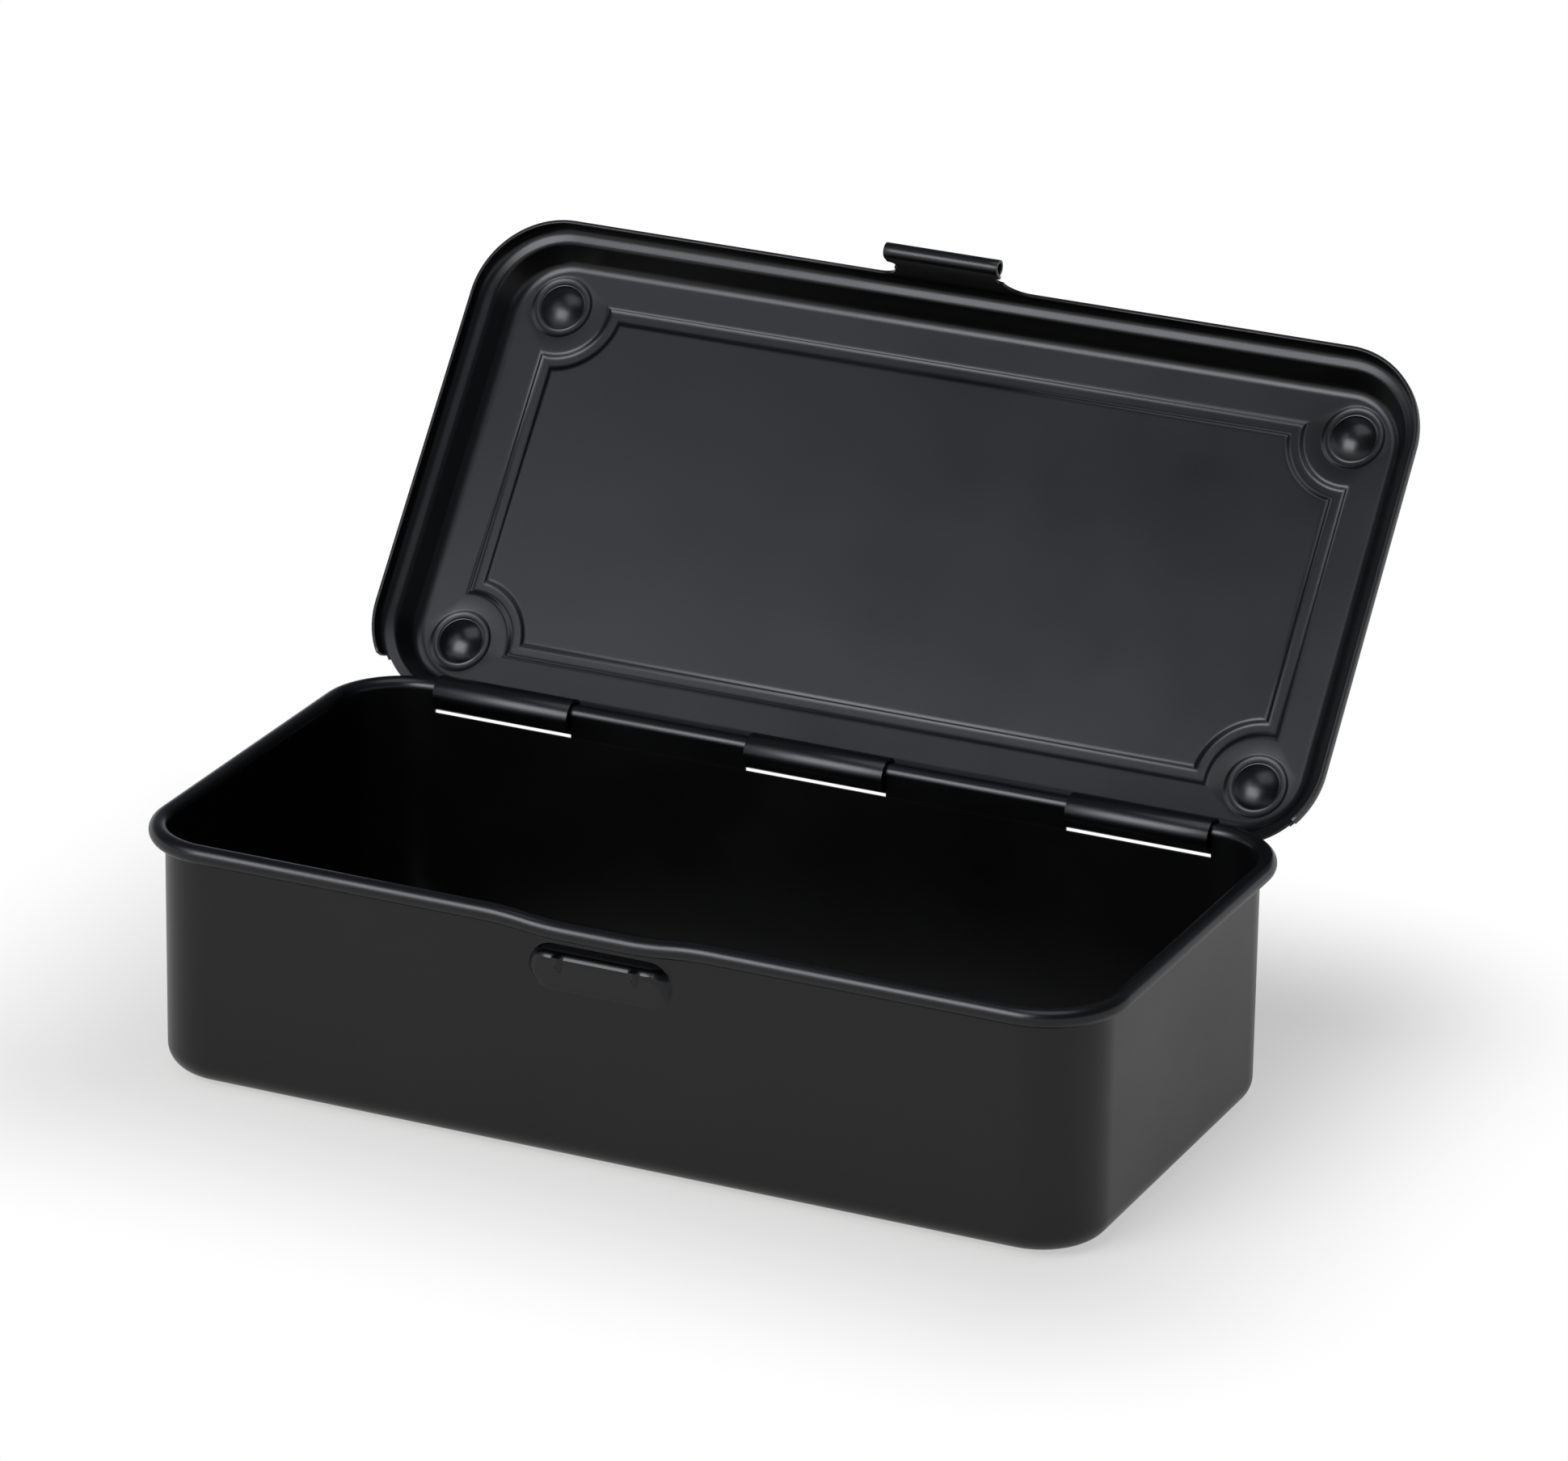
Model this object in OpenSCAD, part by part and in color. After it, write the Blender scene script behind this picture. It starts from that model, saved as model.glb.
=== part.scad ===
// Stackable steel box: a deep drawn tray and a hinged lid, each pressed from one sheet.
// The front faces -Y and up is +Z. The origin is the centre of the tray's flat underside.
// The lid stands open, turned back about the rolled rim at the rear.

/* [Sheet] */
// Thickness of the steel sheet
sheet_t = 0.6; // [0.5:0.05:0.8]
// Gap between the lid and the rolled rim, all round
lid_gap = 0.3; // [0.2:0.05:0.5]
// Gap at each end of a hinge knuckle in its slot
knuckle_side_gap = 0.3; // [0.2:0.05:1]

/* [Tray] */
// Width over the rolled rim
rim_w = 201.2; // [190:0.1:320]
// Depth over the rolled rim
rim_d = 101.2; // [90:0.1:180]
// Height from the flat underside to the top of the rim
tray_h = 50.2; // [46:0.1:90]
// Outer radius of the tray's upright corners
corner_r = 13.9; // [12:0.1:20]
// Outer radius between the walls and the floor
bottom_r = 4.6; // [2:0.1:5]
// Outer radius of the rolled rim
roll_r = 1.87; // [1.6:0.01:2.2]
// Angle through which the rim is rolled outwards from the wall
roll_wrap = 280; // [240:1:290]

/* [Front dip] */
// Drop of the rim at the middle of the front
dip_h = 1.15; // [0.4:0.05:2]
// Width of the level stretch at the bottom of the dip
dip_flat_w = 12; // [4:0.5:20]
// Length of the slope on each side of the dip
dip_run = 18; // [12:0.5:24]

/* [Feet and sockets] */
// Distance of the feet and sockets from the middle, sideways
foot_x = 85.5; // [80:0.1:86]
// Distance of the feet and sockets from the middle, front to back
foot_y = 36.15; // [32:0.05:36.5]
// Radius of a foot where it leaves the floor
foot_r = 4.2; // [3:0.1:4.4]
// Height of a foot below the floor
foot_h = 0.8; // [0.4:0.05:1.2]
// Radius of a socket in the lid
socket_r = 4.7; // [4.5:0.1:5]
// Depth of a socket below its raised lip
socket_h = 1.7; // [1.3:0.05:2.2]
// Radius of the raised lip round a socket
lip_r = 6.2; // [5.9:0.05:6.4]
// Height of the raised lip round a socket
lip_h = 0.3; // [0.15:0.05:0.4]

/* [Lid] */
// Distance from the top of the rim down to the lid's free edge
skirt_drop = 3.3; // [2.6:0.1:4]
// Slope of the flange that lies over the rim
flange_slope = 20; // [12:1:26]
// Length of the straight part of the flange
flange_flat = 1; // [0.5:0.1:2]
// Inner radius of the bend between the flange and the step
flange_bend_r = 1.4; // [1:0.1:2]
// Slope of the step up to the panel
step_slope = 62; // [55:1:75]
// Inner radius of the bend between the step and the panel
panel_bend_r = 2.75; // [1.5:0.05:3]
// Distance from the lid's free edge to the inside of its panel
lid_depth = 9.2; // [8.5:0.1:14]
// Angle to which the lid stands open
open_angle = 128.4; // [0:0.1:128.4]

/* [Panel frame] */
// Distance from the lid's side edges to the raised frame
frame_in_x = 14.65; // [13:0.05:25]
// Distance from the lid's front and rear edges to the raised frame
frame_in_y = 14.05; // [13:0.05:20]
// Width of the raised frame
frame_band = 2.7; // [2:0.1:5]
// Height of the raised frame
frame_h = 0.5; // [0.2:0.05:0.55]
// Radius of the notch that the frame leaves round a socket
notch_r = 10.5; // [9:0.1:14]

/* [Hinge] */
// Spacing of the hinge knuckles
knuckle_pitch = 68; // [50:0.5:70]
// Length of a hinge knuckle
knuckle_len = 29.5; // [16:0.1:32]
// Angle of the knuckle's wrap from the rear of the rim, under it and up the inside
knuckle_wrap = 215; // [190:1:225]
// Distance from the rim's centre down to the foot of a slot
slot_drop = 4.45; // [3.6:0.05:8]
// Corner radius of a slot
slot_corner_r = 0.6; // [0.3:0.1:1]
// Distance of the lid's rear edge above the centre of the rim, between the knuckles
rear_edge_up = 0.86; // [0.8:0.01:1.2]
// Distance in front of the rim's centre to which the rear edge runs
rear_cut_in = 0.3; // [0.2:0.05:1]
// Distance in front of the rim's centre to which the rear corners are cut away
corner_cut_in = 5; // [4:0.1:7]
// Height above the centre of the rim to which the rear corners are cut away
corner_cut_up = 1.9; // [1.7:0.05:2.1]

/* [Hasp] */
// Width of the hasp's neck
hasp_neck_w = 22.6; // [16:0.1:28]
// Width of the hasp's curled grip
hasp_grip_w = 26.2; // [20:0.1:32]
// Distance from the lid's free edge down to the centre of the curled grip
hasp_drop = 9.9; // [7:0.1:16]
// Radius of the flare where the hasp leaves the skirt
hasp_root_r = 8; // [4:0.5:8.5]
// Outer radius of the curled grip
grip_r = 1.8; // [1.4:0.05:2.2]
// Angle through which the grip is curled outwards
grip_wrap = 290; // [240:5:300]

/* [Catch] */
// Height of the catch's outline
catch_h = 9.5; // [7:0.1:12]
// Length of the straight stretch of the catch
catch_w = 20.4; // [14:0.1:26]
// Distance from the top of the rim down to the catch's outline
catch_drop = 6.3; // [5.5:0.1:12]
// How far the catch stands out from the wall
catch_out = 2.5; // [1.5:0.05:2.7]
// Distance from the catch's outline down to its ledge
ledge_drop = 1.5; // [1.2:0.05:2]

/* [Hidden] */
$fn = 64;

steel = "#26272a";

// Centre line of the rolled rim: its radius at the corners, and the corners' own centres
path_r = corner_r + roll_r - sheet_t;
corner_x = rim_w / 2 - roll_r - path_r;
corner_y = rim_d / 2 - roll_r - path_r;
rim_y = rim_d / 2 - roll_r;
rim_z = tray_h - roll_r;

// Outer faces of the walls, and the radius of the lid's inside round the rim
wall_y = rim_y - roll_r + sheet_t;
seat_r = roll_r + lid_gap;

// Heights of the lid's parts above the centre of the rim
free_z = roll_r - skirt_drop;
panel_z = free_z + lid_depth;

// Slopes along the lid's section, and the length of its step
flange_turn = 90 - flange_slope;
bend_turn = step_slope - flange_slope;
flange_rise = seat_r * cos(flange_slope) + flange_flat * sin(flange_slope);
bend_rise = flange_bend_r * (cos(flange_slope) - cos(step_slope));
corner_rise = panel_bend_r * (1 - cos(step_slope));
step_len = (panel_z - flange_rise - bend_rise - corner_rise) / sin(step_slope);
flange_run = seat_r * sin(flange_slope) - flange_flat * cos(flange_slope);
bend_run = flange_bend_r * (sin(step_slope) - sin(flange_slope));
corner_run = panel_bend_r * sin(step_slope);
panel_edge = flange_run - bend_run - step_len * cos(step_slope) - corner_run;

// Outer size of the lid
lid_out = seat_r + sheet_t;
lid_w = rim_w - 2 * roll_r + 2 * lid_out;
lid_d = rim_d - 2 * roll_r + 2 * lid_out;

// Two equal arcs make each slope of the front dip
dip_half = dip_run / 2;
dip_arc_r = (dip_half * dip_half + dip_h * dip_h / 4) / dip_h;
dip_arc_a = 2 * atan(dip_h / 2 / dip_half);
dip_low = dip_flat_w / 2;
dip_high = dip_low + dip_run;

// Length of wall that is swept along with the rim in the dip
dip_tail = 0.8;

// Sections of the sheet, as [straight length, turn to the left, radius of the surface] steps
tray_floor = [path_r - roll_r + sheet_t - bottom_r, 90, bottom_r - sheet_t];
tray_steps = [tray_floor, [rim_z - bottom_r, -roll_wrap, roll_r]];
low_steps = [tray_floor, [rim_z - dip_h - dip_tail - bottom_r, 0, 0]];
lid_steps = [
    [path_r + panel_edge, -step_slope, panel_bend_r + sheet_t],
    [step_len, bend_turn, flange_bend_r - sheet_t],
    [flange_flat, -flange_turn, lid_out],
    [-free_z, 0, 0]
];

// Catch: places of its middle, its ledge and its slope
catch_end_r = catch_h / 2;
catch_z = tray_h - catch_drop - catch_end_r;
ledge_y = catch_end_r - ledge_drop;
ramp_slope = atan(catch_out / (catch_h - ledge_drop));

// Spare length of a cutter past the face that it leaves
slack = 1;

// Wedge between two angles, wide enough to take in a circle of radius r
module wedge(r, from, to) {
    count = ceil((to - from) / 60);
    turn = (to - from) / count;
    polygon(concat([[0, 0]], [for (i = [0:count]) 2 * r * [cos(from + i * turn), sin(from + i * turn)]]));
}

// Bent strip of sheet between two radii and two angles
module bend(inner_r, from, to) {
    intersection() {
        difference() {
            circle(inner_r + sheet_t);
            circle(inner_r);
        }
        wedge(inner_r + sheet_t, from, to);
    }
}

// Section of the sheet that follows the steps from here on, with its thickness to the right
module bent_sheet(steps, i = 0) {
    if (i < len(steps)) {
        length = steps[i][0];
        turn = steps[i][1];
        r = steps[i][2];
        side = turn < 0 ? -1 : 1;
        translate([0, -sheet_t]) square([length, sheet_t]);
        translate([length, side * r]) {
            if (turn > 0) bend(r, -90, turn - 90);
            if (turn < 0) bend(r - sheet_t, turn + 90, 90);
            rotate(turn) translate([0, -side * r]) bent_sheet(steps, i + 1);
        }
    }
}

// Section of the tray from the axis of a corner outwards
module tray_section() {
    translate([0, sheet_t]) bent_sheet(tray_steps);
}

// The same section with the wall cut off at the bottom of the front dip
module low_section() {
    translate([0, sheet_t]) bent_sheet(low_steps);
}

// Rolled rim and a short length of wall below it, round the centre of the rim
module roll_section() {
    rotate(90) translate([-dip_tail, roll_r]) bent_sheet([[dip_tail, -roll_wrap, roll_r]]);
}

// Section of the closed lid from the axis of a corner outwards
module lid_section() {
    translate([0, rim_z + panel_z + sheet_t]) bent_sheet(lid_steps);
}

// Quarter turns of a section round the four corners
module corners() {
    for (i = [0:3])
        translate([(i == 0 || i == 3 ? 1 : -1) * corner_x, (i < 2 ? 1 : -1) * corner_y, 0])
            rotate([0, 0, 90 * i]) rotate_extrude(angle = 90) children();
}

// Straight run of a section along the right side
module right_run() {
    translate([corner_x, corner_y, 0]) rotate([90, 0, 0]) linear_extrude(2 * corner_y) children();
}

// Straight run of a section along the rear, from one place to another
module rear_run(from, to) {
    translate([from, corner_y, 0]) rotate([90, 0, 90]) linear_extrude(to - from) children();
}

// Both ends of the box, and both faces of a run that is the same on each
module both_sides() {
    children();
    mirror([1, 0, 0]) children();
}

// Places of the hinge knuckles
module knuckle_places() {
    for (i = [-1:1]) translate([i * knuckle_pitch, rim_y, rim_z]) children();
}

// Places of the feet and sockets
module foot_places() {
    for (sx = [-1, 1], sy = [-1, 1]) translate([sx * foot_x, sy * foot_y, 0]) children();
}

// Radius of the ball that makes a cap of a given radius and height
function ball_radius(r, h) = (r * r + h * h) / (2 * h);

// Cap of the ball of a pressed dome that stands h below height 0, less a given thickness
module dome_cap(r, h, less, up) {
    ball_r = ball_radius(r, h);
    intersection() {
        translate([0, 0, ball_r - h]) sphere(ball_r - less);
        translate([0, 0, -h]) cylinder(r = ball_r, h = h + up);
    }
}

// Rolled rim along one slope of the front dip
module dip_slope() {
    translate([dip_low, -rim_y, rim_z - dip_h + dip_arc_r]) rotate([90, 0, 0]) rotate([0, 0, -90])
        rotate_extrude(angle = dip_arc_a) translate([dip_arc_r, 0]) rotate(90) roll_section();
    translate([dip_high, -rim_y, rim_z - dip_arc_r]) rotate([90, 0, 0]) rotate([0, 0, 90])
        rotate_extrude(angle = dip_arc_a) translate([dip_arc_r, 0]) mirror([0, 1]) rotate(-90) roll_section();
}

// Top of the front wall below the dip, as far up as the wall that is swept with the rim
module dip_wall() {
    low_z = rim_z - dip_h - dip_tail / 2;
    translate([0, sheet_t - wall_y, 0]) rotate([90, 0, 0]) linear_extrude(sheet_t) polygon([
        [-dip_high, rim_z - dip_h - 2 * dip_tail],
        [dip_high, rim_z - dip_h - 2 * dip_tail],
        [dip_high, rim_z - dip_tail / 2],
        [dip_low, low_z],
        [-dip_low, low_z],
        [-dip_high, rim_z - dip_tail / 2]
    ]);
}

// Front side of the tray, where the rim dips
module front_run() {
    rotate([0, 0, 180]) rear_run(-dip_high, dip_high) low_section();
    dip_wall();
    translate([0, 0, -dip_h]) rotate([0, 0, 180]) rear_run(-dip_low, dip_low)
        translate([path_r, rim_z]) roll_section();
    both_sides() {
        rotate([0, 0, 180]) rear_run(-corner_x, -dip_high) tray_section();
        dip_slope();
    }
}

// Slot in the rear wall for one knuckle, round its place
module slot() {
    half_w = knuckle_len / 2 + knuckle_side_gap;
    rotate([90, 0, 0]) linear_extrude(4 * roll_r) {
        for (sx = [-1, 1]) translate([sx * (half_w - slot_corner_r), slot_corner_r - slot_drop])
            circle(slot_corner_r);
        translate([-half_w, slot_corner_r - slot_drop]) square([2 * half_w, slot_drop - slot_corner_r]);
        translate([slot_corner_r - half_w, -slot_drop]) square([2 * (half_w - slot_corner_r), slot_drop]);
    }
}

// Place of the catch, with its width along X, its height along Y and its front along Z
module catch_place() {
    translate([0, -wall_y, catch_z]) rotate([90, 0, 0]) children();
}

// Prism along the width of the catch, from a section of its height and its front
module catch_prism(w) {
    rotate([90, 0, 90]) translate([0, 0, -w / 2]) linear_extrude(w) children();
}

// Form of the catch, a given distance inside its outer faces and rooted behind the wall's face:
// a ramp that starts from the wall at its foot, inside an outline with round, sloping ends
module catch_form(inset, root) {
    side = ledge_drop / catch_out;
    foot_r = catch_end_r - inset;
    wide_r = foot_r + root * side;
    top_r = foot_r - ledge_drop;
    out = catch_out - inset / cos(ramp_slope);
    intersection() {
        union() {
            for (sx = [-1, 1]) translate([sx * catch_w / 2, 0, -root])
                cylinder(r1 = wide_r, r2 = top_r, h = root + catch_out);
            catch_prism(catch_w)
                polygon([[-wide_r, -root], [wide_r, -root], [top_r, catch_out], [-top_r, catch_out]]);
        }
        catch_prism(2 * catch_w) polygon([
            [-catch_h, -root],
            [catch_h, -root],
            [catch_h, out + (catch_h - ledge_y) * tan(ramp_slope)],
            [ledge_y, out],
            [-catch_h, max(out - (ledge_y + catch_h) * tan(ramp_slope), slack / 2 - root)]
        ]);
    }
}

// Outer form of the catch, lanced open above its ledge
module catch_body() {
    difference() {
        catch_form(0, sheet_t / 2);
        catch_prism(catch_w)
            translate([ledge_y, 0]) square([catch_h, catch_out + slack]);
    }
}

// Hollow behind the catch, and the slot above its ledge
module catch_hollow() {
    catch_form(sheet_t, sheet_t + slack);
    catch_prism(catch_w) translate([ledge_y - slack, -sheet_t - slack])
        square([ledge_drop + slack - sheet_t / 2, sheet_t + slack]);
}

// Frame outline that stands a given distance inside the outer edge of the raised frame
module frame_outline(inset) {
    difference() {
        square([lid_w - 2 * frame_in_x - 2 * inset, lid_d - 2 * frame_in_y - 2 * inset], center = true);
        for (sx = [-1, 1], sy = [-1, 1]) translate([sx * foot_x, sy * foot_y]) circle(notch_r + inset);
    }
}

// Ring of the raised frame, narrowed by a given distance on both edges
module frame_ring(narrow) {
    difference() {
        frame_outline(narrow);
        frame_outline(frame_band - narrow);
    }
}

// Section of the hasp's curled grip and the end of its plate, from the plate downwards
module grip_section(flat) {
    rotate(-90) translate([-flat, -grip_r]) bent_sheet([[flat, grip_wrap, grip_r - sheet_t]]);
}

// Hasp plate with a flared root and a curled grip, below the front edge of the closed lid
module hasp() {
    neck = hasp_neck_w / 2;
    grip = hasp_grip_w / 2;
    flare = grip - neck;
    inner_y = -rim_y - seat_r;
    edge_z = rim_z + free_z;
    grip_z = edge_z - hasp_drop;
    translate([0, inner_y, 0]) rotate([90, 0, 0]) linear_extrude(sheet_t) {
        translate([-neck, grip_z + flare / 2]) square([2 * neck, hasp_drop - flare / 2 - free_z]);
        difference() {
            translate([-neck - hasp_root_r, edge_z - hasp_root_r])
                square([2 * neck + 2 * hasp_root_r, hasp_root_r - free_z]);
            for (side = [-1, 1]) translate([side * (neck + hasp_root_r), edge_z - hasp_root_r])
                circle(hasp_root_r);
        }
    }
    difference() {
        translate([grip, inner_y - grip_r, grip_z]) rotate([90, 0, -90]) linear_extrude(2 * grip)
            grip_section(flare);
        for (side = [-1, 1]) translate([side * grip, inner_y + slack, grip_z + flare])
            rotate([90, 0, 0]) cylinder(r = flare, h = 2 * slack + sheet_t);
    }
}

// Knuckle of one hinge, round the centre of the rim
module knuckle() {
    translate([-knuckle_len / 2, 0, 0]) rotate([90, 0, 90]) linear_extrude(knuckle_len)
        bend(seat_r, -knuckle_wrap, 0);
}

// Socket in the lid's panel, from the inside of the panel outwards
module socket_body() {
    translate([0, 0, lip_h]) dome_cap(socket_r, socket_h, 0, sheet_t);
    cylinder(r = lip_r + lip_h, h = sheet_t);
    translate([0, 0, sheet_t]) cylinder(r1 = lip_r + lip_h, r2 = lip_r, h = lip_h);
}

// Hollow above a socket, and the trough round its dome on the inside
module socket_hollow() {
    translate([0, 0, lip_h]) dome_cap(socket_r, socket_h, sheet_t, sheet_t + slack);
    difference() {
        translate([0, 0, -slack]) cylinder(r = lip_r - lip_h, h = lip_h + slack);
        translate([0, 0, lip_h]) dome_cap(socket_r, socket_h, 0, slack);
    }
}

// Deep drawn tray with its rolled rim, front catch, hinge slots and feet
module tray() {
    color(steel) difference() {
        union() {
            corners() tray_section();
            both_sides() right_run() tray_section();
            rear_run(-corner_x, corner_x) tray_section();
            front_run();
            translate([-corner_x, -corner_y, 0]) cube([2 * corner_x, 2 * corner_y, sheet_t]);
            foot_places() dome_cap(foot_r, foot_h, 0, sheet_t / 2);
            catch_place() catch_body();
        }
        foot_places() dome_cap(foot_r, foot_h, sheet_t, sheet_t + slack / 2);
        catch_place() catch_hollow();
        knuckle_places() slot();
    }
}

// What is cut from the lid's rear edge, and further round its rear corners, so that it can turn
module rear_trim() {
    difference() {
        translate([-lid_w, rim_y - rear_cut_in, rim_z - lid_depth])
            cube([2 * lid_w, lid_d, lid_depth + rear_edge_up]);
        knuckle_places() translate([-knuckle_len / 2, -lid_d, 0]) cube([knuckle_len, 2 * lid_d, lid_depth]);
    }
    both_sides() translate([corner_x, rim_y - corner_cut_in, rim_z - lid_depth])
        cube([lid_w, lid_d, lid_depth + corner_cut_up]);
}

// Closed lid, over the tray
module closed_lid() {
    inside_z = rim_z + panel_z;
    difference() {
        union() {
            corners() lid_section();
            both_sides() right_run() lid_section();
            rear_run(-corner_x, corner_x) lid_section();
            rotate([0, 0, 180]) rear_run(-corner_x, corner_x) lid_section();
            translate([-corner_x, -corner_y, inside_z]) cube([2 * corner_x, 2 * corner_y, sheet_t]);
            translate([0, 0, inside_z + sheet_t / 2]) linear_extrude(frame_h + sheet_t / 2) frame_ring(-sheet_t / 4);
            translate([0, 0, inside_z]) foot_places() socket_body();
        }
        translate([0, 0, inside_z - slack]) linear_extrude(frame_h + slack) frame_ring(sheet_t / 4);
        translate([0, 0, inside_z]) foot_places() socket_hollow();
        rear_trim();
    }
    hasp();
    knuckle_places() knuckle();
}

// Lid, turned open about the centre of the rear rim
module lid() {
    color(steel) translate([0, rim_y, rim_z]) rotate([-open_angle, 0, 0])
        translate([0, -rim_y, -rim_z]) closed_lid();
}

tray();
lid();
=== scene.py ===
"""Looks of a stackable steel box: a deep drawn tray and the lid that turns on its rolled rim."""
import logging
import math
from collections.abc import Callable, Sequence
from dataclasses import dataclass
from enum import Enum

import bmesh
import bpy
from mathutils import Matrix, Vector
from mathutils.geometry import delaunay_2d_cdt


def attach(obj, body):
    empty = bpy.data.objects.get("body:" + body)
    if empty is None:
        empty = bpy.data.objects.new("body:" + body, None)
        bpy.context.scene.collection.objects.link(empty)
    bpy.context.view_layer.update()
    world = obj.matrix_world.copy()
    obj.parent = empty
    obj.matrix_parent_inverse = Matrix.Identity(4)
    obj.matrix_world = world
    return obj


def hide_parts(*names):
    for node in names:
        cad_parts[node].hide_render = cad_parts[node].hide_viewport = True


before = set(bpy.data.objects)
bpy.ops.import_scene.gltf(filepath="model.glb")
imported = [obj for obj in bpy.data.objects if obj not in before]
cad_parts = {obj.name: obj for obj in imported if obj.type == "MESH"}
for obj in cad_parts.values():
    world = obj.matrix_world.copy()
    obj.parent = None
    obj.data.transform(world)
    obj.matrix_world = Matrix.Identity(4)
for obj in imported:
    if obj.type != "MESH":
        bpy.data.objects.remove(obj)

LOG = logging.getLogger("toolbox")

# Metres in a millimetre: every mesh is shaped in millimetres and scaled at the end
MM = 0.001
# Distance below which two points are the same, in millimetres
SAME = 0.002
# Distance from a bend of the line of points that keeps its shading short, in millimetres
NEAR = 0.3
# Steps of a quarter turn round a corner of the box
CORNER_STEPS = 24
# Points round a dimple
DIMPLE_POINTS = 48
# Least angle of an edge that is softened, in degrees
EDGE_ANGLE = 62.0
# Greatest angle between faces that are shaded as one, in degrees
SMOOTH_ANGLE = 35.0

# Inputs of a shader node: for each its value, or the output that is linked to it
Inputs = dict[str | int, bpy.types.NodeSocket | float | tuple[float, ...]]

RIGHT = Vector((1.0, 0.0, 0.0))
FRONT = Vector((0.0, -1.0, 0.0))
UP = Vector((0.0, 0.0, 1.0))


class Body(Enum):
    """Bodies of the frame that the pieces ride on."""

    TRAY = "tray_body"
    LID = "lid_body"


@dataclass(frozen=True)
class Sizes:
    """Sizes that the tray and the lid share, in millimetres."""

    sheet: float = 0.6
    edge_r: float = 0.1
    lid_gap: float = 0.3
    rim_w: float = 201.2
    rim_d: float = 101.2
    tray_h: float = 50.2
    corner_r: float = 13.9
    bottom_r: float = 4.6
    roll_r: float = 1.87
    foot_x: float = 85.5
    foot_y: float = 36.15
    knuckle_pitch: float = 68.0
    knuckle_len: float = 29.5

    @property
    def path_r(self) -> float:
        """Corner radius of the rolled rim's centre line."""
        return self.corner_r + self.roll_r - self.sheet

    @property
    def rim_y(self) -> float:
        """Distance of the rim's centre line from the middle, front to back."""
        return self.rim_d / 2 - self.roll_r

    @property
    def rim_z(self) -> float:
        """Height of the rim's centre line."""
        return self.tray_h - self.roll_r

    @property
    def corner_x(self) -> float:
        """Distance of the corner axes from the middle, sideways."""
        return self.rim_w / 2 - self.roll_r - self.path_r

    @property
    def corner_y(self) -> float:
        """Distance of the corner axes from the middle, front to back."""
        return self.rim_y - self.path_r

    @property
    def seat_r(self) -> float:
        """Radius of the lid's inside round the rim."""
        return self.roll_r + self.lid_gap


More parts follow.
